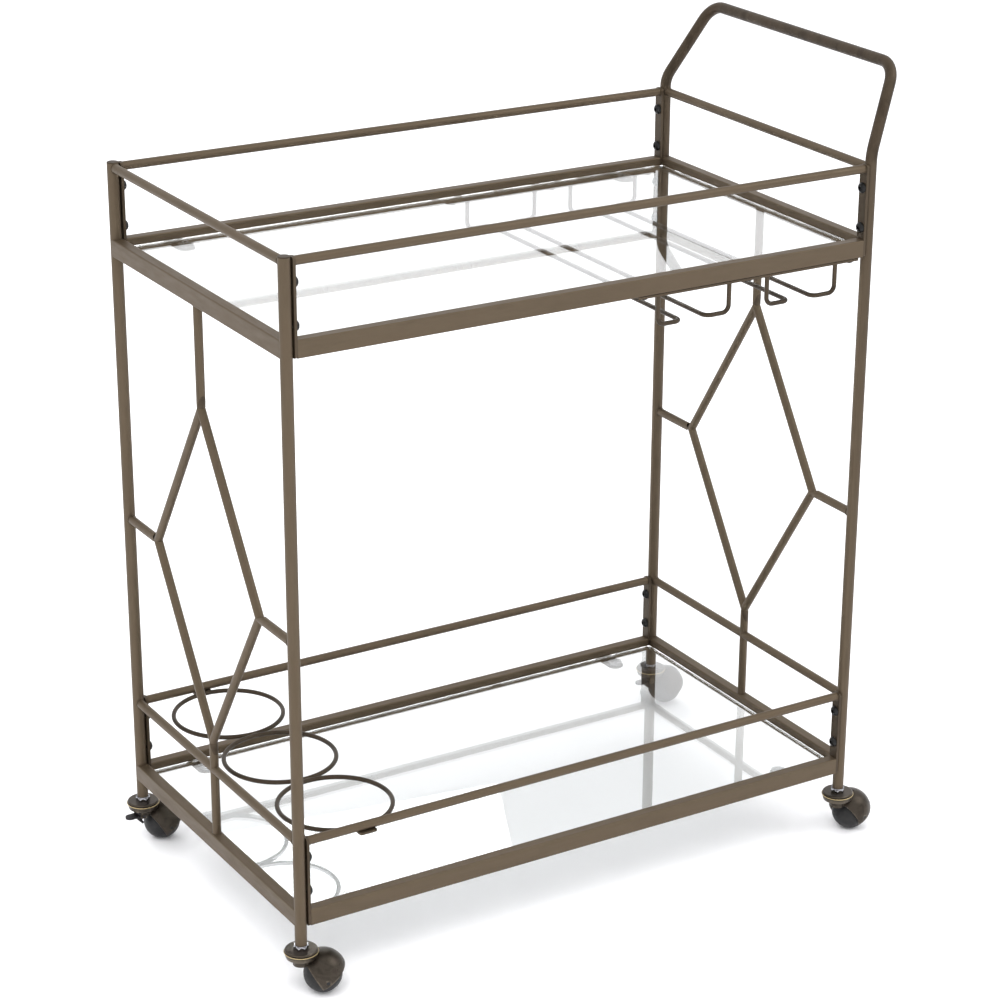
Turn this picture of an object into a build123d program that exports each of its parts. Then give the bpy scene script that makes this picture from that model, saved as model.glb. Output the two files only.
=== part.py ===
from build123d import *
import os
from math import cos, radians, sin

os.makedirs("parts", exist_ok=True)

# ---------------------------------------------------------------- driving dimensions (mm)
deck_x = -14.0            # middle of the deck, measured from the centre of the whole footprint
post_half_x = 347.15      # post axes, either side of the deck middle
post_half_y = 195.0
post_r = 6.35             # half-inch round tube
rail_r = 4.75             # three-eighths round tube
wall = 1.2
gap = 0.05                # seam left between two welded pieces

post_bottom = 58.5
upper_gallery_z = 792.4
lower_gallery_z = 176.0
upper_tray_z = 715.4      # top of the tray rails
lower_tray_z = 98.9
tray_rail_h = 19.05       # rectangular tube, three quarters by half an inch
tray_rail_w = 12.7

glass_drop = 8.4          # glass top below the tray rail top
glass_t = 5.0
glass_margin = 0.4
glass_corner_r = 4.0

strap_w = 12.4
strap_t = 3.0
upper_bolt_drops = (20.5, 64.0)     # below the gallery rail axis
lower_bolt_drops = (18.0, 57.0)
bolt_r = 3.0
bolt_head_r = 5.3
bolt_head_h = 3.6
bolt_grip = 6.2           # shank length under the head

handle_knee_z = 807.4     # where the posts start to lean outwards
handle_bar_z = 893.2
handle_reach = 45.1       # bar axis beyond the post axes
handle_half_y = 169.0     # half the bar, corner to corner
knee_bend_r = 34.0
corner_bend_r = 27.0

lattice_top_z = 584.7
lattice_side_z = 398.6
lattice_bottom_z = 210.0
lattice_half_y = 120.8
lattice_wall = 1.0

wire_r = 2.5
ring_r = 60.7             # ring centreline
ring_pitch = 126.5
ring_x = deck_x - 269.0
ring_z = 170.5
ring_tab_w = 20.0
ring_tab_t = 2.5

rack_pairs = (deck_x + 124.5, deck_x + 262.0)
rack_drop_half = 44.5     # from the middle of a pair to the drops
rack_run_half = 15.5      # from the middle of a pair to the long runs
rack_wire_z = 660.8
rack_strap_x = (deck_x + 52.0, deck_x + 333.0)
rack_screw_x = (deck_x + 61.0, deck_x + 192.5, deck_x + 324.0)
rack_strap_t = 2.5
foot_bend_r = 8.0
screw_r = 2.0
screw_head_r = 4.6
screw_head_h = 2.8
screw_grip = 5.2

pad_x = 278.0
pad_y = 172.0
pad_r = 8.5
pad_foot_r = 6.1
tab_t = 2.0
tab_half_w = 10.0

cap_dome_h = 1.2
cap_plug_l = 10.0

ball_r = 20.5
trail = 22.5              # ball axis behind the swivel axis
plate_r = 17.4
plate_t = 1.8
nut_h = 5.2
nut_flat_r = 7.0          # half the distance across flats
insert_l = 28.0
stem_r = 4.0
rivet_r = 6.0
rivet_h = 1.6
axle_r = 2.0
axle_half = 24.1
running = 0.05            # radial clearance of a shaft in its bore

disc_z = 44.0             # underside of the swivelling disc
disc_r = 18.2
disc_under_r = 16.4
plate_gap = 0.8           # open gap between the fixed plate and the swivelling disc
dome_rise = 2.6           # hood centre above the ball centre
dome_r = 24.6
dome_wall = 1.3
tip_u, tip_w = -5.0, -9.5             # lowest point of the hood's cheek, from the ball centre
front_cut = (-13.3, 24.0)             # hood edge direction from the tip towards the disc
rear_cut = (29.5, 22.0)               # hood edge direction from the tip towards the trailing rim
neck_w = 17.0
neck_h = 9.0
boss_r = 9.2
pocket_r = 6.6
ear_y, ear_t = 8.0, 1.6
lever_u, lever_w = -4.5, 36.6         # brake pivot, from the swivel axis and the floor
pin_r = 1.5

left_x = deck_x - post_half_x
right_x = deck_x + post_half_x
inward = {left_x: 1.0, right_x: -1.0}          # direction from a post towards the deck middle
ends_y = (-post_half_y, post_half_y)
casters = {                                    # x, y, resting swivel angle, has a brake
    "front_left": (left_x, -post_half_y, -14.0, False),
    "front_right": (right_x, -post_half_y, 10.0, False),
    "rear_left": (left_x, post_half_y, 3.0, True),
    "rear_right": (right_x, post_half_y, 4.0, True),
}
corners = [(x, y) for x, y, _, _ in casters.values()]

far = 60.0                # length of a cutter that only has to pass right through
tray_bottoms = (upper_tray_z - tray_rail_h, lower_tray_z - tray_rail_h)
rail_inner_y = post_half_y + post_r - tray_rail_w


def save(part, name):
    part.label = name
    export_step(part, f"parts/{name}.step")


def straight_tube(start, end, radius, tube_wall=wall):
    """Hollow round tube with square ends between two points."""
    start, end = Vector(*start), Vector(*end)
    run = end - start
    with BuildPart() as tube:
        with BuildSketch(Plane(origin=start, z_dir=run)):
            Circle(radius)
            Circle(radius - tube_wall, mode=Mode.SUBTRACT)
        extrude(amount=run.length)
    return tube.part


def round_bar(start, end, radius):
    """Solid round bar between two points, also used as a cutter."""
    start, end = Vector(*start), Vector(*end)
    with BuildPart() as bar:
        with BuildSketch(Plane(origin=start, z_dir=end - start)):
            Circle(radius)
        extrude(amount=(end - start).length)
    return bar.part


def upright_cutter(x, y, z, radius, reach=far):
    """Vertical round cutter centred on a height."""
    return round_bar((x, y, z - reach / 2), (x, y, z + reach / 2), radius)


def rounded_path(points, bend_radii):
    """Polyline through 3D points, every inner corner replaced by a tangent arc."""
    points = [Vector(*p) for p in points]
    with BuildLine() as path:
        here = points[0]
        for i, bend in enumerate(bend_radii, start=1):
            into = (points[i] - points[i - 1]).normalized()
            out = (points[i + 1] - points[i]).normalized()
            turn = radians(into.get_angle(out))
            setback = bend * sin(turn / 2) / cos(turn / 2)
            arc_start = points[i] - into * setback
            Line(here, arc_start)
            here = points[i] + out * setback
            TangentArc(arc_start, here, tangent=into)
        Line(here, points[-1])
    return path


def swept_wire(points, bend_radii, radius, tube_wall=None):
    """Bent round wire, or bent tube when a wall is given."""
    path = rounded_path(points, bend_radii)
    with BuildPart() as wire:
        with BuildSketch(path.line ^ 0):
            Circle(radius)
            if tube_wall:
                Circle(radius - tube_wall, mode=Mode.SUBTRACT)
        sweep(path=path.line)
    return wire.part


def cut_posts(z):
    """Takes the four post volumes out of the open part, around a height."""
    for x, y in corners:
        add(upright_cutter(x, y, z, post_r + gap), mode=Mode.SUBTRACT)


# ---------------------------------------------------------------- posts and handle
bolt_heights = ([upper_gallery_z - d for d in upper_bolt_drops]
                + [lower_gallery_z - d for d in lower_bolt_drops])


def cut_bolt_holes(x):
    """Clearance holes through the inward wall of the two posts at x and their straps."""
    side = inward[x]
    inside, outside = x + side * post_r * 0.3, x + side * (post_r + 2 * strap_t)
    for y in ends_y:
        for z in bolt_heights:
            add(round_bar((inside, y, z), (outside, y, z), bolt_r + gap), mode=Mode.SUBTRACT)


post_top = upper_gallery_z + rail_r
for name, y in (("post_left_front", -post_half_y), ("post_left_rear", post_half_y)):
    with BuildPart() as post:
        add(straight_tube((left_x, y, post_bottom), (left_x, y, post_top), post_r))
        cut_bolt_holes(left_x)
    save(post.part, name)

with BuildPart() as caps:
    for y in ends_y:
        add(round_bar((left_x, y, post_top - cap_plug_l), (left_x, y, post_top + gap), post_r - wall - gap))
        add(round_bar((left_x, y, post_top + gap), (left_x, y, post_top + gap + cap_dome_h), post_r))
    fillet(caps.edges().group_by(Axis.Z)[-1], cap_dome_h * 0.8)
save(caps.part, "post_caps")

with BuildPart() as handle_frame:
    add(swept_wire(
        [(right_x, -post_half_y, post_bottom),
         (right_x, -post_half_y, handle_knee_z),
         (right_x + handle_reach, -handle_half_y, handle_bar_z),
         (right_x + handle_reach, handle_half_y, handle_bar_z),
         (right_x, post_half_y, handle_knee_z),
         (right_x, post_half_y, post_bottom)],
        [knee_bend_r, corner_bend_r, corner_bend_r, knee_bend_r], post_r, wall))
    cut_bolt_holes(right_x)
save(handle_frame.part, "handle_frame_tube")

# ---------------------------------------------------------------- end galleries and end tray rails
stub_clear = rail_r + gap
rail_corner_r = 1.5


def tray_rail_section(centre_a, centre_z):
    with Locations((centre_a, centre_z)):
        RectangleRounded(tray_rail_w, tray_rail_h, rail_corner_r)
        Rectangle(tray_rail_w - 2 * wall, tray_rail_h - 2 * wall, mode=Mode.SUBTRACT)


for side, x in (("left", left_x), ("right", right_x)):
    for level, z in (("upper", upper_gallery_z), ("lower", lower_gallery_z)):
        with BuildPart() as rail:
            add(straight_tube((x, -post_half_y, z), (x, post_half_y, z), rail_r))
            cut_posts(z)
            if level == "lower":
                # the lattice stub passes between the two halves
                add(upright_cutter(x, 0, z, stub_clear), mode=Mode.SUBTRACT)
        save(rail.part, f"gallery_{side}_{level}")
    for level, bottom in zip(("upper", "lower"), tray_bottoms):
        with BuildPart() as rail:
            with BuildSketch(Plane.XZ.offset(-post_half_y)):
                tray_rail_section(x, bottom + tray_rail_h / 2)
            extrude(amount=2 * post_half_y)
            cut_posts(bottom + tray_rail_h / 2)
        save(rail.part.solids().sort_by(SortBy.VOLUME)[-1], f"tray_rail_{side}_{level}")

# ---------------------------------------------------------------- long panels (gallery, tray rail, straps)
strap_face = post_half_x - post_r - gap - strap_t     # inner face of a strap, from the deck middle
panel_half = strap_face - gap
for place, y in zip(("front", "rear"), ends_y):
    for level, z in (("upper", upper_gallery_z), ("lower", lower_gallery_z)):
        with BuildPart() as rail:
            add(straight_tube((deck_x - panel_half, y, z), (deck_x + panel_half, y, z), rail_r))
            if level == "lower":
                add(round_bar((ring_x, y, z - far / 2), (ring_x, y, z), screw_r + gap), mode=Mode.SUBTRACT)
        save(rail.part, f"gallery_{place}_{level}")
    for level, bottom in zip(("upper", "lower"), tray_bottoms):
        with BuildPart() as rail:
            with BuildSketch(Plane.YZ.offset(deck_x - panel_half)):
                tray_rail_section(y, bottom + tray_rail_h / 2)
            extrude(amount=2 * panel_half)
            if level == "upper":
                for x in rack_screw_x:
                    add(round_bar((x, y, bottom - wall), (x, y, bottom + 2 * wall), screw_r + gap),
                        mode=Mode.SUBTRACT)
        save(rail.part, f"tray_rail_{place}_{level}")

strap_corner_r = 3.0
with BuildPart() as straps:
    for x in (left_x, right_x):
        face = x + inward[x] * (post_r + gap)
        for low, high in zip(tray_bottoms, (upper_gallery_z + rail_r, lower_gallery_z + rail_r)):
            with BuildSketch(Plane.YZ.offset(min(face, face + inward[x] * strap_t))):
                with Locations(*[(y, (low + high) / 2) for y in ends_y]):
                    RectangleRounded(strap_w, high - low, strap_corner_r)
            extrude(amount=strap_t)
        cut_bolt_holes(x)
save(straps.part, "panel_straps")

with BuildPart() as bolts:
    for x in (left_x, right_x):
        side = inward[x]
        seat = x + side * (post_r + 2 * gap + strap_t)
        crown = seat + side * bolt_head_h
        for y in ends_y:
            for z in bolt_heights:
                add(round_bar((seat, y, z), (crown, y, z), bolt_head_r))
                add(round_bar((seat - side * bolt_grip, y, z), (seat, y, z), bolt_r))
        fillet(bolts.edges().filter_by(GeomType.CIRCLE).filter_by(
            lambda e: abs(e.center().X - crown) < gap), bolt_head_h * 0.78)
save(bolts.part, "panel_bolts")

# ---------------------------------------------------------------- end lattices
mitre_reach = 40.0


def half_space(point, normal, size=400.0):
    """Big block on the far side of a plane, for mitre cuts."""
    with BuildPart() as block:
        with BuildSketch(Plane(origin=point, z_dir=normal)):
            Rectangle(size, size)
        extrude(amount=size)
    return block.part


def lattice_side(s, corner, vertex, up):
    """One mitred side of the diamond, between a side corner and the top or bottom vertex."""
    run = (vertex - corner).normalized()
    level, across = Vector(0, 0, up), Vector(0, s, 0)
    with BuildPart() as side:
        add(straight_tube(corner - run * mitre_reach, vertex + run * mitre_reach, rail_r, lattice_wall))
        # mitres: middle plane at the top and bottom vertex, level plane at the side vertex
        add(half_space(vertex + across * gap, -across), mode=Mode.SUBTRACT)
        add(half_space(corner + level * gap, -level), mode=Mode.SUBTRACT)
    return side.part


def coped_tube(start, end, neighbours):
    """Tube whose start is cut to fit over the tubes it is welded to."""
    with BuildPart() as tube:
        add(straight_tube(start, end, rail_r, lattice_wall))
        for a, b in neighbours:
            beyond = (b - a).normalized() * mitre_reach
            add(round_bar(a - beyond, b + beyond, rail_r + gap), mode=Mode.SUBTRACT)
        cut_posts(start.Z)
    return tube.part.solids().sort_by(SortBy.VOLUME)[-1]


def lattice_pieces(x):
    """Four mitred sides, two arms and two stubs, each its own tube."""
    top, bottom = Vector(x, 0, lattice_top_z), Vector(x, 0, lattice_bottom_z)
    corners_yz = [Vector(x, s * lattice_half_y, lattice_side_z) for s in (-1, 1)]
    pieces = []
    for s, corner in zip((-1, 1), corners_yz):
        pieces += [lattice_side(s, corner, top, 1), lattice_side(s, corner, bottom, -1)]
        pieces.append(coped_tube(corner, Vector(x, s * post_half_y, lattice_side_z),
                                 [(corner, top), (corner, bottom)]))
    rail_under, rail_over = upper_tray_z - tray_rail_h - gap, lower_tray_z + gap
    pieces.append(coped_tube(top, Vector(x, 0, rail_under), [(corner, top) for corner in corners_yz]))
    pieces.append(coped_tube(bottom, Vector(x, 0, rail_over), [(corner, bottom) for corner in corners_yz]))
    return pieces


for side, x in (("left", left_x), ("right", right_x)):
    with BuildPart() as lattice:
        for piece in lattice_pieces(x):
            add(piece)
    save(lattice.part, f"lattice_{side}")

# ---------------------------------------------------------------- glass shelves, pads and tabs
glass_half_x = post_half_x + post_r - tray_rail_w - glass_margin
glass_half_y = rail_inner_y - glass_margin
for level, top in (("upper", upper_tray_z), ("lower", lower_tray_z)):
    with BuildPart() as glass:
        with BuildSketch(Plane.XY.offset(top - glass_drop - glass_t)):
            with Locations((deck_x, 0)):
                RectangleRounded(2 * glass_half_x, 2 * glass_half_y, glass_corner_r)
        extrude(amount=glass_t)
        for face in (glass.faces().sort_by(Axis.Z)[-1], glass.faces().sort_by(Axis.Z)[0]):
            chamfer(face.edges(), 0.4)
    save(glass.part, f"glass_{level}")

pad_places = [(deck_x + sx * pad_x, sy * pad_y) for sx in (-1, 1) for sy in (-1, 1)]
pad_h = tray_rail_h - glass_drop - glass_t - tab_t - 2 * gap
with BuildPart() as pads:
    for bottom in tray_bottoms:
        for place in pad_places:
            with BuildSketch(Plane.XY.offset(bottom + tab_t + gap)):
                with Locations(place):
                    Circle(pad_foot_r)
            with BuildSketch(Plane.XY.offset(bottom + tab_t + gap + pad_h)):
                with Locations(place):
                    Circle(pad_r)
            loft()
save(pads.part, "glass_pads")

with BuildPart() as tabs:
    for bottom in tray_bottoms:
        for x, y in pad_places:
            end_y = (rail_inner_y - gap) * (1 if y > 0 else -1)
            with BuildSketch(Plane.XY.offset(bottom)):
                with Locations((x, y)):
                    Circle(tab_half_w)
                with Locations((x, (y + end_y) / 2)):
                    Rectangle(2 * tab_half_w, abs(end_y - y))
            extrude(amount=tab_t)
save(tabs.part, "pad_tabs")

# ---------------------------------------------------------------- stemware rack
rack_strap_bottom = tray_bottoms[0] - gap - rack_strap_t
with BuildPart() as rack_straps:
    with BuildSketch(Plane.XY.offset(rack_strap_bottom)):
        with Locations(*[(sum(rack_strap_x) / 2, y) for y in ends_y]):
            RectangleRounded(rack_strap_x[1] - rack_strap_x[0], strap_w, 2.0)
    extrude(amount=rack_strap_t)
    for x in rack_screw_x:
        for y in ends_y:
            add(upright_cutter(x, y, rack_strap_bottom, screw_r + gap), mode=Mode.SUBTRACT)
save(rack_straps.part, "rack_straps")

wire_top = rack_strap_bottom - gap
wire_y = post_half_y - 1.0
wire_places = [(pair_x + s * rack_drop_half, pair_x + s * rack_run_half)
               for pair_x in rack_pairs for s in (-1, 1)]
for i, (drop_x, run_x) in enumerate(wire_places, start=1):
    half_wire = [(drop_x, wire_top), (drop_x, rack_wire_z), (run_x, rack_wire_z)]
    points = ([(x, -wire_y, z) for x, z in half_wire]
              + [(x, wire_y, z) for x, z in reversed(half_wire)])
    save(swept_wire(points, [foot_bend_r] * 4, wire_r), f"rack_wire_{i}")

# ---------------------------------------------------------------- bottle rings
for i, place in enumerate(("front", "middle", "rear")):
    ring_y = (i - 1) * ring_pitch
    with BuildPart() as ring:
        with BuildSketch(Plane(origin=(ring_x + ring_r, ring_y, ring_z), z_dir=(0, 1, 0))):
            Circle(wire_r)
        revolve(axis=Axis((ring_x, ring_y, ring_z), (0, 0, 1)))
    save(ring.part, f"bottle_ring_{place}")

ring_tab_bottom = lower_gallery_z - rail_r - gap - ring_tab_t
ring_tab_inner = ring_pitch + ring_r + wire_r + gap
ring_tab_outer = post_half_y + rail_r + 2.0
with BuildPart() as ring_tabs:
    for s in (-1, 1):
        with BuildSketch(Plane.XY.offset(ring_tab_bottom)):
            with Locations((ring_x, s * (ring_tab_inner + ring_tab_outer) / 2)):
                RectangleRounded(ring_tab_w, ring_tab_outer - ring_tab_inner, 2.0)
        extrude(amount=ring_tab_t)
        add(upright_cutter(ring_x, s * post_half_y, ring_tab_bottom, screw_r + gap), mode=Mode.SUBTRACT)
save(ring_tabs.part, "ring_tabs")

screw_seats = ([(x, y, rack_strap_bottom - gap) for x in rack_screw_x for y in ends_y]
               + [(ring_x, y, ring_tab_bottom - gap) for y in ends_y])
with BuildPart() as screws:
    for x, y, z in screw_seats:
        add(round_bar((x, y, z - screw_head_h), (x, y, z), screw_head_r))
        add(round_bar((x, y, z), (x, y, z + screw_grip), screw_r))
    for seat_z in (rack_strap_bottom - gap, ring_tab_bottom - gap):
        fillet(screws.edges().filter_by(GeomType.CIRCLE).filter_by(
            lambda e: abs(e.center().Z - seat_z + screw_head_h) < gap), screw_head_h * 0.78)
save(screws.part, "mounting_screws")

# ---------------------------------------------------------------- caster fixed parts
plate_bottom = post_bottom - nut_h - plate_t
disc_top = plate_bottom - plate_gap
rivet_top = disc_z - 0.4

with BuildPart() as inserts:
    with BuildSketch(Plane.XY.offset(post_bottom)):
        with Locations(*corners):
            Circle(post_r - wall - gap)
            Circle(stem_r + gap, mode=Mode.SUBTRACT)
    extrude(amount=insert_l)
save(inserts.part, "caster_inserts")

with BuildPart() as stems:
    for x, y in corners:
        add(round_bar((x, y, rivet_top), (x, y, post_bottom + insert_l - 2), stem_r))
        add(round_bar((x, y, rivet_top - rivet_h), (x, y, rivet_top), rivet_r))
save(stems.part, "caster_stems")

with BuildPart() as nuts:
    with BuildSketch(Plane.XY.offset(post_bottom - nut_h + gap)):
        with Locations(*corners):
            RegularPolygon(nut_flat_r, 6, major_radius=False)
            Circle(stem_r + gap, mode=Mode.SUBTRACT)
    extrude(amount=nut_h - 2 * gap)
save(nuts.part, "caster_nuts")

with BuildPart() as plates:
    for x, y in corners:
        add(round_bar((x, y, plate_bottom), (x, y, plate_bottom + plate_t), plate_r))
    chamfer(plates.edges().group_by(Axis.Z)[-1], plate_t * 0.4, plate_t * 0.6)
    for x, y in corners:
        add(upright_cutter(x, y, plate_bottom, stem_r + gap), mode=Mode.SUBTRACT)
save(plates.part, "caster_top_plates")

# ---------------------------------------------------------------- caster swivel, wheel and brake


def swivel_casting(braked):
    """Disc and hood in one casting; swivel axis on Z, wheel trailing along +X."""
    tip_x, tip_z = trail + tip_u, ball_r + tip_w
    with BuildPart() as casting:
        with Locations((trail, 0, ball_r + dome_rise)):
            Sphere(dome_r)
        # side view of what the hood loses: everything below the two cut lines
        with BuildSketch(Plane.XZ.offset(-far / 2)):
            with BuildLine():
                Polyline((tip_x, tip_z),
                         (tip_x + 2 * front_cut[0], tip_z + 2 * front_cut[1]),
                         (-far, tip_z + 2 * front_cut[1]), (-far, -far), (far, -far),
                         (tip_x + 2 * rear_cut[0], tip_z + 2 * rear_cut[1]), close=True)
            make_face()
        extrude(amount=far, mode=Mode.SUBTRACT)
        # neck between the hood and the disc
        with BuildSketch(Plane.XY.offset(disc_z - neck_h)):
            with Locations((trail / 2, 0)):
                Rectangle(trail, neck_w)
            if not braked:
                Circle(boss_r)
        extrude(amount=neck_h)
        with Locations((trail, 0, ball_r + dome_rise)):
            Sphere(dome_r - dome_wall, mode=Mode.SUBTRACT)
        # swivelling disc over it
        with Locations((0, 0, disc_z)):
            Cone(disc_under_r, disc_r, disc_top - disc_z, align=(Align.CENTER, Align.CENTER, Align.MIN))
        if braked:
            for side in (-1, 1):
                with BuildSketch(Plane.XZ.offset(side * (ear_y + ear_t / 2))):
                    with BuildLine():
                        Polyline((lever_u - 4, disc_z + 0.5), (lever_u - 3, lever_w - 2.6),
                                 (lever_u + 3, lever_w - 2.6), (lever_u + 4, disc_z + 0.5), close=True)
                    make_face()
                extrude(amount=ear_t / 2, both=True)
            add(round_bar((lever_u, -far, lever_w), (lever_u, far, lever_w), pin_r + gap), mode=Mode.SUBTRACT)
        # room for the stem and its riveted end
        add(round_bar((0, 0, disc_z - neck_h - dome_wall), (0, 0, disc_z), pocket_r), mode=Mode.SUBTRACT)
        add(upright_cutter(0, 0, disc_z, stem_r + running), mode=Mode.SUBTRACT)
        add(round_bar((trail, -far, ball_r), (trail, far, ball_r), axle_r + gap), mode=Mode.SUBTRACT)
    return casting.part


def wheel():
    with BuildPart() as ball:
        with Locations((trail, 0, ball_r)):
            Sphere(ball_r)
        add(round_bar((trail, -far, ball_r), (trail, far, ball_r), axle_r + running), mode=Mode.SUBTRACT)
    return ball.part


def brake_lever():
    """Foot pad, hub round the pivot pin, and a claw facing the ball."""
    pad_l, pad_w, lever_t = 18.0, 11.0, 2.2
    hub_r, hub_half = 3.2, ear_y - 0.4
    claw = [(-5.5, -1.5), (-4.8, -6.0), (0.6, -11.8), (3.0, -10.6), (0.4, -7.0), (2.2, -3.0)]
    pad_under = lever_w - 2.6
    with BuildPart() as lever:
        add(round_bar((lever_u, -hub_half, lever_w), (lever_u, hub_half, lever_w), hub_r))
        with BuildSketch(Plane.XY.offset(pad_under)):
            with Locations((lever_u - pad_l / 2, 0)):
                SlotOverall(pad_l, pad_w)
            with Locations((lever_u - pad_l / 4, 0)):
                Rectangle(pad_l / 2, pad_w)
        extrude(amount=lever_t)
        with BuildSketch(Plane.XZ):
            with BuildLine():
                Polyline(*[(lever_u + u, lever_w + w) for u, w in claw], close=True)
            make_face()
        extrude(amount=4.0, both=True)
        add(round_bar((lever_u, -far, lever_w), (lever_u, far, lever_w), pin_r + running), mode=Mode.SUBTRACT)
    return lever.part


for place, (x, y, yaw, braked) in casters.items():
    pieces = {"hood": swivel_casting(braked), "wheel": wheel(),
              "axle": round_bar((trail, -axle_half, ball_r), (trail, axle_half, ball_r), axle_r)}
    if braked:
        pieces["brake_lever"] = brake_lever()
        pin_half = ear_y + ear_t
        pieces["brake_pin"] = round_bar((lever_u, -pin_half, lever_w), (lever_u, pin_half, lever_w), pin_r)
    for piece_name, piece in pieces.items():
        with BuildPart() as placed:
            with Locations(Location((x, y, 0), (0, 0, yaw))):
                add(piece)
        save(placed.part, f"{piece_name}_{place}")
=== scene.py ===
import math
import random

import bpy
from mathutils import Matrix, Vector


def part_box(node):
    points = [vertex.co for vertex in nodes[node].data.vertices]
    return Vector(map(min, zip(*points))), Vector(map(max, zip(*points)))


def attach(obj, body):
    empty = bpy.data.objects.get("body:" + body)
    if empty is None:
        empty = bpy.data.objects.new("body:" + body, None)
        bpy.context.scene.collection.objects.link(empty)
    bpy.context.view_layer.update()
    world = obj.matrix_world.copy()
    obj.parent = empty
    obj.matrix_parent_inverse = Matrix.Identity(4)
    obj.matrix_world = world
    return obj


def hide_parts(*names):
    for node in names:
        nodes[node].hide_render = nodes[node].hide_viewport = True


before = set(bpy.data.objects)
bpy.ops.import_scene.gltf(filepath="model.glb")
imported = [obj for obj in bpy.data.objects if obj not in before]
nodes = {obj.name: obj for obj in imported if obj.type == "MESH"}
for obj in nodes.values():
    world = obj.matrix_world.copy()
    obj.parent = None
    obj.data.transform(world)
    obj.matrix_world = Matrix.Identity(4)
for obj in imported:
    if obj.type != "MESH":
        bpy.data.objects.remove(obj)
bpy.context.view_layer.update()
random.seed(7)

MM = 0.001
CASTERS = ("front_left", "front_right", "rear_left", "rear_right")
BRAKED = ("rear_left", "rear_right")
ENDS = ("left", "right")
LEVELS = ("upper", "lower")
DIAMOND_TIPS = ((584.7 * MM, 1), (210.0 * MM, -1))      # height of a lattice tip and which way it points

# small parts, in mm
BOLT_HEAD_R, BOLT_HEAD_H, BOLT_SHANK_R, BOLT_SHANK_L = 5.7, 4.6, 3.0, 6.0
SCREW_HEAD_R, SCREW_HEAD_H, SCREW_SHANK_R, SCREW_SHANK_L = 4.6, 2.7, 2.0, 5.0
SCREW_SEAT = 2.8                # from the lowest point of the CAD screw up to its seat
NUT_FLAT_R, NUT_BORE_R = 7.0, 4.1
TUBE_WELD, WIRE_WELD = 0.7, 0.55        # thickness of a weld bead
WIRE_R = 2.5
BEAD_GAP = 0.1                  # from the end of a tube to the middle of its bead


# ------------------------------------------------------------------ places read from the frame

def middle(name):
    low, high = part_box(name)
    return (low + high) / 2


def points_where(name, test):
    """Mean place of the node's vertices that pass a test."""
    found = [v.co for v in nodes[name].data.vertices if test(v.co)]
    return sum(found, Vector()) / len(found)


# ------------------------------------------------------------------ material helpers

class Nodes:
    """Short way to build a node material."""

    def __init__(self, name):
        self.material = bpy.data.materials.new(name)
        self.material.use_nodes = True
        self.tree = self.material.node_tree
        self.shader = self.tree.nodes["Principled BSDF"]

    def new(self, kind, values=None, **props):
        node = self.tree.nodes.new(kind)
        for key, value in props.items():
            setattr(node, key, value)
        for key, value in (values or {}).items():
            node.inputs[key].default_value = value
        return node

    def link(self, a, b):
        self.tree.links.new(a, b)

    def set(self, **values):
        for key, value in values.items():
            self.shader.inputs[key.replace("_", " ")].default_value = value

    def coords(self, scale=(1, 1, 1)):
        """Object coordinates in metres, stretched along chosen axes."""
        where = self.new("ShaderNodeTexCoord")
        mapping = self.new("ShaderNodeMapping", {"Scale": scale})
        self.link(where.outputs["Object"], mapping.inputs["Vector"])
        return mapping.outputs["Vector"]

    def noise(self, vector, scale, detail=4.0, roughness=0.55, distortion=0.0):
        node = self.new("ShaderNodeTexNoise", {"Scale": scale, "Detail": detail, "Roughness": roughness,
                                               "Distortion": distortion})
        self.link(vector, node.inputs["Vector"])
        return node.outputs["Fac"]

    def ramp(self, fac, stops):
        node = self.new("ShaderNodeValToRGB")
        while len(node.color_ramp.elements) < len(stops):
            node.color_ramp.elements.new(0.5)
        for element, (place, colour) in zip(node.color_ramp.elements, stops):
            element.position = place
            element.color = (*colour, 1)
        self.link(fac, node.inputs["Fac"])
        return node.outputs["Color"]

    def spread(self, fac, low, high, from_low=0.3, from_high=0.7):
        """Maps a 0..1 pattern to a value range."""
        node = self.new("ShaderNodeMapRange", {"From Min": from_low, "From Max": from_high,
                                               "To Min": low, "To Max": high})
        self.link(fac, node.inputs["Value"])
        return node.outputs["Result"]

    def mix(self, fac, a, b):
        node = self.new("ShaderNodeMix", data_type="RGBA")
        self.link(fac, node.inputs[0])
        for socket, value in ((node.inputs[6], a), (node.inputs[7], b)):
            if isinstance(value, tuple):
                socket.default_value = (*value, 1)
            else:
                self.link(value, socket)
        return node.outputs[2]

    def math(self, operation, a, b):
        node = self.new("ShaderNodeMath", operation=operation)
        for socket, value in ((node.inputs[0], a), (node.inputs[1], b)):
            if isinstance(value, (int, float)):
                socket.default_value = value
            else:
                self.link(value, socket)
        return node.outputs[0]

    def bump(self, height, strength, distance):
        node = self.new("ShaderNodeBump", {"Strength": strength, "Distance": distance})
        self.link(height, node.inputs["Height"])
        self.link(node.outputs["Normal"], self.shader.inputs["Normal"])

    def edge_wear_and_highlight(self):
        """0 on flats, towards 1 on outer edges; used for edge wear plus a painted highlight along the edges.
        """
        geometry = self.new("ShaderNodeNewGeometry")
        return self.spread(geometry.outputs["Pointiness"], 0.0, 1.0, 0.51, 0.6)


def tint(colour, amount):
    return tuple(min(1.0, c * amount) for c in colour)


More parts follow.
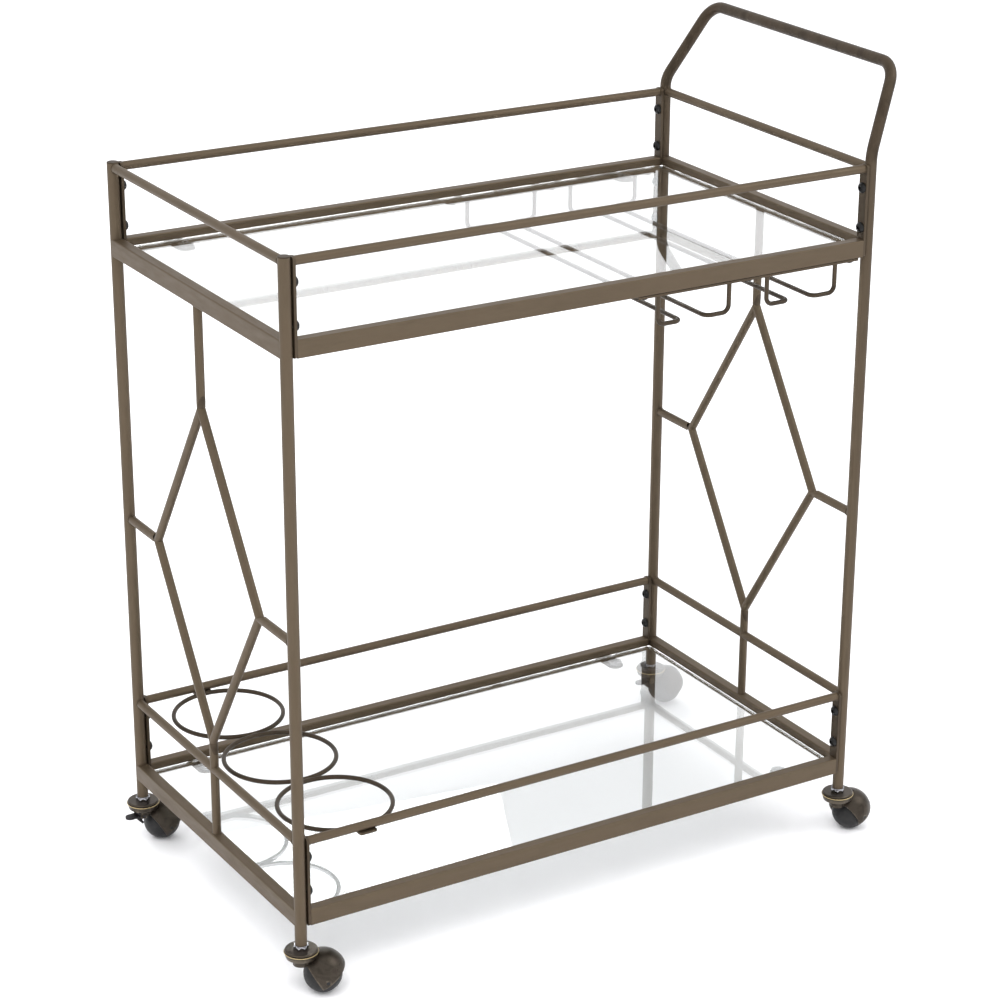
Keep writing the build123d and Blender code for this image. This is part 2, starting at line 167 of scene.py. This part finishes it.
def bronze(name, dark, light, warm, rough=(0.42, 0.56), metallic=0.55, along=(1, 1, 1), scale=1.0):
    """Antique bronze lacquer: a mottled brown over metal, lighter on the edges from rubbing wear plus a
    painted edge highlight.
    """
    m = Nodes(name)
    place = m.coords(along)
    mottle = m.noise(place, 26 * scale, 5, 0.6, 0.6)
    cloud = m.noise(place, 7 * scale, 3, 0.5)
    fine = m.noise(place, 420 * scale, 3, 0.6)
    base = m.ramp(mottle, [(0.32, dark), (0.52, light), (0.72, warm)])
    base = m.mix(m.spread(cloud, 0.0, 0.5), base, warm)
    base = m.mix(m.spread(fine, 0.0, 0.2), base, dark)
    # edges lightened: rubbed wear plus a painted highlight
    base = m.mix(m.math("MULTIPLY", m.edge_wear_and_highlight(), 0.55), base, tint(light, 2.4))
    m.link(base, m.shader.inputs["Base Color"])
    m.link(m.spread(m.noise(place, 60 * scale, 4, 0.6), *rough), m.shader.inputs["Roughness"])
    m.set(Metallic=metallic, Specular_IOR_Level=0.4)
    m.bump(m.math("ADD", m.math("MULTIPLY", fine, 0.6), m.noise(place, 150 * scale, 3, 0.5)), 0.14, 0.00015)
    return m.material


FRAME_DARK = (0.030, 0.021, 0.012)
FRAME_LIGHT = (0.058, 0.043, 0.027)
FRAME_WARM = (0.054, 0.035, 0.021)
CASTER_DARK = (0.018, 0.015, 0.011)
CASTER_LIGHT = (0.060, 0.050, 0.038)
CASTER_WARM = (0.052, 0.040, 0.032)
FRAME_COLOURS = (FRAME_DARK, FRAME_LIGHT, FRAME_WARM)
bronze_upright = bronze("bronze_upright", *FRAME_COLOURS, along=(2.4, 2.4, 0.5))
bronze_long = bronze("bronze_long", *FRAME_COLOURS, along=(0.5, 2.4, 2.4))
bronze_cross = bronze("bronze_cross", *FRAME_COLOURS, along=(2.4, 0.5, 2.4))
bronze_plain = bronze("bronze_plain", *FRAME_COLOURS)
bronze_wire = bronze("bronze_wire", *[tint(c, 0.8) for c in FRAME_COLOURS], rough=(0.36, 0.5))
bronze_weld = bronze("bronze_weld", *[tint(c, 0.9) for c in FRAME_COLOURS], rough=(0.35, 0.55), scale=3.0)
bronze_caster = bronze("bronze_caster", CASTER_DARK, CASTER_LIGHT, CASTER_WARM, rough=(0.26, 0.42),
                       metallic=0.8, scale=2.2)
# bright brass finish for the ring that paints the highlight on each caster disc edge
painted_highlight_rim = bronze("painted_highlight_rim", (0.20, 0.15, 0.07), (0.42, 0.33, 0.18), (0.34, 0.26, 0.13),
                    rough=(0.25, 0.4), metallic=0.9, scale=3.0)


def dark_metal(name, colour, rough):
    m = Nodes(name)
    place = m.coords()
    speckle = m.noise(place, 700, 4, 0.6)
    base = m.mix(m.spread(m.noise(place, 160, 4, 0.6), 0.0, 1.0), colour, tint(colour, 1.9))
    # bright edges: a painted highlight plus wear
    base = m.mix(m.math("MULTIPLY", m.edge_wear_and_highlight(), 0.4), base, tint(colour, 5.0))
    m.link(base, m.shader.inputs["Base Color"])
    m.link(m.spread(speckle, rough * 0.8, rough * 1.3), m.shader.inputs["Roughness"])
    m.set(Metallic=0.7)
    m.bump(speckle, 0.1, 0.0001)
    return m.material


def zinc():
    m = Nodes("zinc_plate")
    place = m.coords()
    streak = m.noise(m.coords((1, 1, 9)), 260, 3, 0.5)
    m.link(m.mix(m.spread(streak, 0, 1), (0.20, 0.20, 0.22), (0.52, 0.52, 0.54)),
           m.shader.inputs["Base Color"])
    m.link(m.spread(m.noise(place, 500, 3), 0.06, 0.2), m.shader.inputs["Roughness"])
    m.set(Metallic=1.0)
    m.bump(streak, 0.08, 0.0001)
    return m.material


def wheel_black():
    m = Nodes("wheel_black")
    place = m.coords()
    dust = m.noise(place, 90, 5, 0.65)
    m.link(m.ramp(dust, [(0.35, (0.006, 0.006, 0.0065)), (0.75, (0.018, 0.017, 0.016))]),
           m.shader.inputs["Base Color"])
    m.link(m.spread(m.noise(place, 300, 4), 0.42, 0.6), m.shader.inputs["Roughness"])
    m.set(Specular_IOR_Level=0.32)
    m.bump(m.noise(place, 1400, 3), 0.12, 0.00008)
    return m.material


def shelf_glass():
    m = Nodes("shelf_glass")
    place = m.coords()
    m.set(Base_Color=(0.97, 0.99, 0.985, 1), IOR=1.6, Transmission_Weight=1.0, Coat_Weight=1.0, Coat_IOR=2.0,
          Coat_Roughness=0.0)
    m.link(m.spread(m.noise(place, 5, 3), 0.0, 0.012), m.shader.inputs["Roughness"])
    m.bump(m.noise(place, 1.7, 2), 0.02, 0.0005)
    return m.material


def silicone():
    m = Nodes("silicone")
    place = m.coords()
    m.set(Transmission_Weight=0.8, IOR=1.4)
    m.link(m.mix(m.spread(m.noise(place, 120, 3), 0, 1), (0.80, 0.81, 0.82), (0.93, 0.93, 0.93)),
           m.shader.inputs["Base Color"])
    m.link(m.spread(m.noise(place, 240, 3), 0.12, 0.3), m.shader.inputs["Roughness"])
    m.bump(m.noise(place, 400, 3), 0.1, 0.0001)
    return m.material


bolt_metal = dark_metal("bolt_metal", (0.010, 0.010, 0.010), 0.34)
brake_metal = dark_metal("brake_metal", (0.012, 0.011, 0.012), 0.4)
zinc_plate = zinc()
black_ball = wheel_black()
glass_clear = shelf_glass()
clear_silicone = silicone()

# ------------------------------------------------------------------ CAD nodes: finish and softened edges

FINISH = {
    "post_left_front": bronze_upright, "post_left_rear": bronze_upright, "post_caps": bronze_plain,
    "handle_frame_tube": bronze_upright, "panel_straps": bronze_upright,
    "lattice_left": bronze_upright, "lattice_right": bronze_upright,
    "pad_tabs": bronze_plain, "rack_straps": bronze_long, "ring_tabs": bronze_plain,
    "panel_bolts": bolt_metal, "mounting_screws": bolt_metal, "caster_stems": zinc_plate,
    "caster_inserts": bolt_metal, "caster_nuts": zinc_plate, "caster_top_plates": bronze_caster,
    "glass_upper": glass_clear, "glass_lower": glass_clear, "glass_pads": clear_silicone,
}
BY_PREFIX = (
    (("gallery_front", "gallery_rear", "tray_rail_front", "tray_rail_rear"), bronze_long),
    (("gallery_left", "gallery_right", "tray_rail_left", "tray_rail_right"), bronze_cross),
    (("rack_wire", "bottle_ring"), bronze_wire), (("hood",), bronze_caster), (("wheel",), black_ball),
    (("axle",), bolt_metal), (("brake",), brake_metal),
)
for name, node in nodes.items():
    for prefixes, finish in BY_PREFIX:
        if name.startswith(prefixes):
            FINISH[name] = finish
    node.data.materials.clear()
    node.data.materials.append(FINISH[name])


def soften(name, width, segments=2):
    """Rounds the sharp edges of a CAD node by a fraction of a millimetre."""
    weld = nodes[name].modifiers.new("join", "WELD")
    weld.merge_threshold = 1e-6
    bevel = nodes[name].modifiers.new("round", "BEVEL")
    bevel.width = width * MM
    bevel.segments = segments
    bevel.limit_method = "ANGLE"
    bevel.angle_limit = math.radians(50)
    bevel.harden_normals = True
    bevel.use_clamp_overlap = True


for name in ("panel_straps", "rack_straps", "ring_tabs", "pad_tabs"):
    soften(name, 0.5)
for place in CASTERS:
    soften(f"hood_{place}", 0.25)
for place in BRAKED:
    soften(f"brake_lever_{place}", 0.4)
soften("caster_top_plates", 0.35)

# ------------------------------------------------------------------ small parts made here


def smooth(mesh, angle=38):
    mesh.polygons.foreach_set("use_smooth", [True] * len(mesh.polygons))
    mesh.set_sharp_from_angle(angle=math.radians(angle))


class Piece:
    """Collects shapes into one mesh that rides on a body. Sizes are in mm, places in metres."""

    def __init__(self):
        self.points, self.faces = [], []

    def put(self, points, faces, place, axis=(0, 0, 1), spin=0.0):
        turn = Vector(axis).to_track_quat("Z", "Y").to_matrix() @ Matrix.Rotation(spin, 3, "Z")
        start = len(self.points)
        self.points += [Vector(place) + turn @ (Vector(p) * MM) for p in points]
        self.faces += [[start + i for i in face] for face in faces]

    def make(self, name, body, material, replaces=()):
        mesh = bpy.data.meshes.new(name)
        mesh.from_pydata([tuple(p) for p in self.points], [], self.faces)
        mesh.validate()
        smooth(mesh)
        mesh.materials.append(material)
        obj = bpy.data.objects.new(name, mesh)
        bpy.context.scene.collection.objects.link(obj)
        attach(obj, body)
        if replaces:
            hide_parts(*replaces)
        return obj


def lathe(profile, steps=36):
    """Turned solid. Each profile point is (radius, height), from the axis out, up and back to the axis.

    A radius may be a function of the angle, for hexagons and crosses.
    """
    points, rings = [], []
    for radius, height in profile:
        if radius == 0:
            rings.append([len(points)])
            points.append((0, 0, height))
            continue
        ring = []
        for i in range(steps):
            a = 2 * math.pi * i / steps
            r = radius(a) if callable(radius) else radius
            ring.append(len(points))
            points.append((r * math.cos(a), r * math.sin(a), height))
        rings.append(ring)
    faces = []
    for low, high in zip(rings, rings[1:]):
        for i in range(steps):
            j = (i + 1) % steps
            if len(low) == 1:
                faces.append([low[0], high[j], high[i]])
            elif len(high) == 1:
                faces.append([low[i], low[j], high[0]])
            else:
                faces.append([low[i], low[j], high[j], high[i]])
    return points, faces


def closed_lathe(profile, steps=36):
    """Turned ring: the profile joins back to its first point."""
    points, faces = lathe(profile, steps)
    last = (len(profile) - 1) * steps
    for i in range(steps):
        j = (i + 1) % steps
        faces.append([last + i, last + j, j, i])
    return points, faces


def hexagon(flat_r):
    """Radius of a hexagon at an angle, from half its width across flats."""
    def radius(a):
        return flat_r / math.cos((a + math.pi / 6) % (math.pi / 3) - math.pi / 6)
    return radius


def cross(arm, root):
    """Radius of a rounded cross at an angle."""
    def radius(a):
        return root + (arm - root) * abs(math.cos(2 * a)) ** 3
    return radius


def dome_head(radius, height, recess, recess_depth, shank_r, shank_l):
    """Screw or bolt with a domed head and a recess, head upwards from the seat at zero."""
    crown = [(radius * math.cos(t), height * (0.22 + 0.78 * math.sin(t)))
             for t in (0.0, 0.3, 0.6, 0.85, 1.05)]
    rim = crown[-1][1]
    under = [(0, -shank_l), (shank_r, -shank_l), (shank_r, -0.02), (radius - 0.25, 0.0), (radius, 0.25)]
    return under + crown + [
        (lambda a: recess(a) + 0.25, rim + 0.22), (recess, rim + 0.1),
        (lambda a: recess(a) * 0.92, rim - recess_depth), (0, rim - recess_depth - 0.3)]


def weld_bead(radius, thick, ripple=1.1):
    """Ring of small overlapping ripples round a tube, in the plane of the joint."""
    steps = max(24, int(2 * math.pi * radius / ripple) * 3)
    turn = [2 * math.pi * k / 8 for k in range(8)]
    points, faces = [], []
    for i in range(steps):
        a = 2 * math.pi * i / steps
        swell = thick * (0.82 + 0.2 * abs(math.sin(math.pi * i / 3)) + random.uniform(-0.05, 0.08))
        for t in turn:
            r = radius + swell * math.cos(t)
            points.append((r * math.cos(a), r * math.sin(a), swell * math.sin(t)))
    for i in range(steps):
        for k in range(8):
            n, m = (i + 1) % steps, (k + 1) % 8
            faces.append([i * 8 + k, n * 8 + k, n * 8 + m, i * 8 + m])
    return points, faces


def weld_blob(long, wide, high, rows=7, steps=14):
    """Small oval drop of weld."""
    profile = [(0, -high)]
    profile += [(math.cos(t), high * math.sin(t)) for t in
                (math.pi * (k / rows - 0.5) for k in range(1, rows))]
    profile.append((0, high))
    points, faces = lathe(profile, steps)
    return [(x * long * random.uniform(0.94, 1.05), y * wide, z) for x, y, z in points], faces


def weld_fill(tube_r):
    """Weld metal inside the outline of a tube, uneven at the ends, upwards from the joint."""
    skin = tube_r - 0.04
    points, faces = lathe([(0, 1.0), (skin * 0.8, 1.2), (skin, 3.0), (skin - 0.03, 7.0), (skin, 11.0),
                           (skin - 0.03, 15.0), (skin * 0.9, 17.5), (0, 18.0)], 28)
    return [(px * random.uniform(0.99, 1.0), py * random.uniform(0.99, 1.0), pz)
            for px, py, pz in points], faces


# places of the posts, rails and joints
left_x = middle("post_left_front").x
left_y = abs(middle("post_left_front").y)
post_r = left_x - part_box("post_left_front")[0].x
END_X = {"left": left_x, "right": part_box("handle_frame_tube")[0].x + post_r}
gallery_z = {level: middle(f"gallery_left_{level}").z for level in LEVELS}
gallery_r = (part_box("gallery_front_upper")[1].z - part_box("gallery_front_upper")[0].z) / 2 / MM
panel_x = [v.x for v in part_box("gallery_front_upper")]


def clusters(name, reach, flat=False):
    """Low and high corner of every separate group of vertices in a node."""
    groups = []
    for v in nodes[name].data.vertices:
        for group in groups:
            apart = group[0] - v.co
            if (apart.xy if flat else apart).length < reach:
                group.append(v.co)
                break
        else:
            groups.append([v.co])
    return [(Vector([min(p[i] for p in group) for i in range(3)]),
             Vector([max(p[i] for p in group) for i in range(3)])) for group in groups]


# bolts through the straps: the CAD bolts give the places
bolt_seat = {side: max(abs(v.co.x - END_X[side]) for v in nodes["panel_straps"].data.vertices
                       if abs(v.co.x - END_X[side]) < 0.02) for side in ENDS}
bolt_heights = []
for v in sorted(nodes["panel_bolts"].data.vertices, key=lambda v: v.co.z):
    if not bolt_heights or v.co.z - bolt_heights[-1][-1] > 0.015:
        bolt_heights.append([v.co.z])
    bolt_heights[-1].append(v.co.z)
bolt_heights = [(min(run) + max(run)) / 2 for run in bolt_heights]

bolts = Piece()
bolt_shape = dome_head(BOLT_HEAD_R, BOLT_HEAD_H, hexagon(1.9), 1.8, BOLT_SHANK_R, BOLT_SHANK_L)
for side in ENDS:
    toward = 1 if side == "left" else -1
    for y in (-left_y, left_y):
        for z in bolt_heights:
            bolts.put(*lathe(bolt_shape),
                      (END_X[side] + toward * (bolt_seat[side] + 0.05 * MM), y, z), (toward, 0, 0),
                      random.uniform(0, 1))
bolts.make("bolts_domed", "cart_frame", bolt_metal, ["panel_bolts"])

# screws under the rack straps and ring tabs
screws = Piece()
screw_shape = dome_head(SCREW_HEAD_R, SCREW_HEAD_H, cross(2.3, 0.8), 1.3, SCREW_SHANK_R, SCREW_SHANK_L)
for low, high in clusters("mounting_screws", 0.012, flat=True):
    centre = (low + high) / 2
    screws.put(*lathe(screw_shape), (centre.x, centre.y, low.z + SCREW_SEAT * MM), (0, 0, -1),
               random.uniform(0, 1))
screws.make("screws_domed", "cart_frame", bolt_metal, ["mounting_screws"])

# chamfered nuts with a thin washer under the post end, and one bright brass ring per caster disc that paints
# the highlight on the disc edge
nut_low, nut_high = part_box("caster_nuts")
nut_h = (nut_high.z - nut_low.z) / MM
flat = hexagon(NUT_FLAT_R)
nut_shape = [(NUT_BORE_R, 0.0), (6.7, 0.0), (flat, 0.75), (flat, nut_h - 1.6), (6.9, nut_h - 0.9),
             (6.2, nut_h - 0.85), (6.2, nut_h - 0.75), (7.35, nut_h - 0.7), (7.45, nut_h - 0.35),
             (7.35, nut_h), (NUT_BORE_R, nut_h)]
nuts = Piece()
for x in END_X.values():
    for y in (-left_y, left_y):
        nuts.put(*closed_lathe(nut_shape, 48), (x, y, nut_low.z), spin=random.uniform(0, 1))
nuts.make("nuts_chamfered", "cart_frame", zinc_plate, ["caster_nuts"])

disc_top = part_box("hood_front_left")[1].z
disc_r = max((v.co.xy - Vector((left_x, -left_y))).length for v in nodes["hood_front_left"].data.vertices
             if v.co.z > disc_top - 0.1 * MM) / MM
for place in CASTERS:
    side = place.split("_")[1]
    centre = (END_X[side], -left_y if place.startswith("front") else left_y, disc_top)
    # this ring is a painted highlight on the disc edge, not a part of the caster
    rim = Piece()
    rim.put(*closed_lathe([(disc_r - 0.3 + 0.5 * math.cos(t), -0.42 + 0.5 * math.sin(t)) for t in
                           (math.pi * k / 4 for k in range(8))], 72), centre)
    rim.make(f"disc_highlight_rim_{place}", f"caster_{place}", painted_highlight_rim)

# clear pads under the glass
pads = Piece()
for low, high in clusters("glass_pads", 0.03):
    h = (high.z - low.z) / MM
    stem = [(0, 0.0), (5.6, 0.0), (6.1, 0.5), (5.9, h * 0.45), (6.6, h * 0.62)]
    cup = [(8.2, h - 0.35), (8.4, h - 0.02), (7.9, h), (6.4, h - 0.55), (4.2, h - 0.75), (3.0, h - 0.6),
           (2.5, h - 0.05), (1.9, h), (0, h)]
    pads.put(*lathe(stem + cup, 40), ((low.x + high.x) / 2, (low.y + high.y) / 2, low.z))
pads.make("pads_cupped", "cart_frame", clear_silicone, ["glass_pads"])

# weld beads where tubes butt
welds = Piece()


def tube_weld(place, axis):
    welds.put(*weld_bead(gallery_r, TUBE_WELD), place, axis)


for side, x in END_X.items():
    for y_side in (-1, 1):
        post_face = y_side * (left_y - post_r - BEAD_GAP * MM)
        # end gallery rails into the posts
        for z in gallery_z.values():
            tube_weld((x, post_face, z), (0, 1, 0))
        # lattice arms into the posts
        arm = points_where(f"lattice_{side}", lambda c: c.y * y_side > left_y - post_r - 2 * MM)
        tube_weld((x, post_face, arm.z), (0, 1, 0))
        # long gallery rails onto the straps
        end = panel_x[0] if side == "left" else panel_x[1]
        for z in gallery_z.values():
            tube_weld((end, y_side * left_y, z), (1, 0, 0))
    low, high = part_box(f"lattice_{side}")
    for z in (low.z, high.z):
        tube_weld((x, 0, z), (0, 0, 1))
    # weld metal that fills the notch between each upright stub and the tip of the diamond
    for tip_z, up in DIAMOND_TIPS:
        welds.put(*weld_fill(gallery_r), (x, 0, tip_z), (0, 0, up))

strap_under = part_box("rack_straps")[0].z
for i in range(1, 5):
    for y_side in (-1, 1):
        foot = points_where(f"rack_wire_{i}", lambda c: c.z > strap_under - 1.0 * MM and c.y * y_side > 0)
        welds.put(*weld_bead(WIRE_R, WIRE_WELD, 0.8), (foot.x, foot.y, strap_under - 0.2 * MM), (0, 0, 1))

ring = middle("bottle_ring_middle")
ring_half = (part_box("bottle_ring_middle")[1].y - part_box("bottle_ring_middle")[0].y) / 2
for y_side in (-1, 1):
    for touch in (ring_half, ring_half * 3):
        welds.put(*weld_blob(5.5, 1.9, 2.1), (ring.x, y_side * touch, ring.z))
welds.make("weld_beads", "cart_frame", bronze_weld)

# ------------------------------------------------------------------ floor, light and camera


def stage_floor():
    m = Nodes("floor_paper")
    place = m.coords()
    m.link(m.mix(m.spread(m.noise(place, 3, 3), 0, 1), (0.955, 0.955, 0.965), (0.975, 0.975, 0.985)),
           m.shader.inputs["Base Color"])
    m.set(Roughness=0.9, Specular_IOR_Level=0.2)
    mesh = bpy.data.meshes.new("floor")
    half = 14.0
    corners = [(-half, -half, 0), (half, -half, 0), (half, half, 0), (-half, half, 0)]
    mesh.from_pydata(corners, [], [(0, 1, 2, 3)])
    mesh.materials.append(m.material)
    floor = bpy.data.objects.new("floor", mesh)
    bpy.context.scene.collection.objects.link(floor)


def area_light(name, place, aim, size, power, glossy=True):
    light = bpy.data.lights.new(name, "AREA")
    light.shape = "RECTANGLE"
    light.size, light.size_y = size
    light.energy = power
    lamp = bpy.data.objects.new(name, light)
    lamp.location = place
    lamp.rotation_euler = (Vector(aim) - Vector(place)).to_track_quat("-Z", "Y").to_euler()
    lamp.visible_glossy = glossy
    bpy.context.scene.collection.objects.link(lamp)


def world_light():
    world = bpy.data.worlds.new("studio")
    world.use_nodes = True
    background = world.node_tree.nodes["Background"]
    background.inputs["Color"].default_value = (0.985, 0.985, 1.0, 1)
    background.inputs["Strength"].default_value = 1.12
    bpy.context.scene.world = world


stage_floor()
world_light()
AIM = (0, 0, 0.45)
area_light("key", (-1.6, -1.8, 3.6), AIM, (2.4, 2.4), 95, glossy=False)
area_light("fill", (2.4, -1.8, 3.0), AIM, (2.0, 2.0), 30)
area_light("back", (0.5, 3.2, 2.8), AIM, (3.0, 1.6), 60, glossy=False)

camera_data = bpy.data.cameras.new("camera")
camera_data.sensor_width = 36.0
camera_data.lens = 105.68
camera_data.shift_x = -0.10
camera_data.shift_y = 0.05
camera_data.clip_end = 60
camera = bpy.data.objects.new("camera", camera_data)
camera.location = (-1.5569, -2.5800, 1.6010)
camera.rotation_euler = (math.radians(67.542), math.radians(-0.962), math.radians(-32.729))
bpy.context.scene.collection.objects.link(camera)
bpy.context.scene.camera = camera
bpy.context.scene.view_settings.view_transform = "Standard"
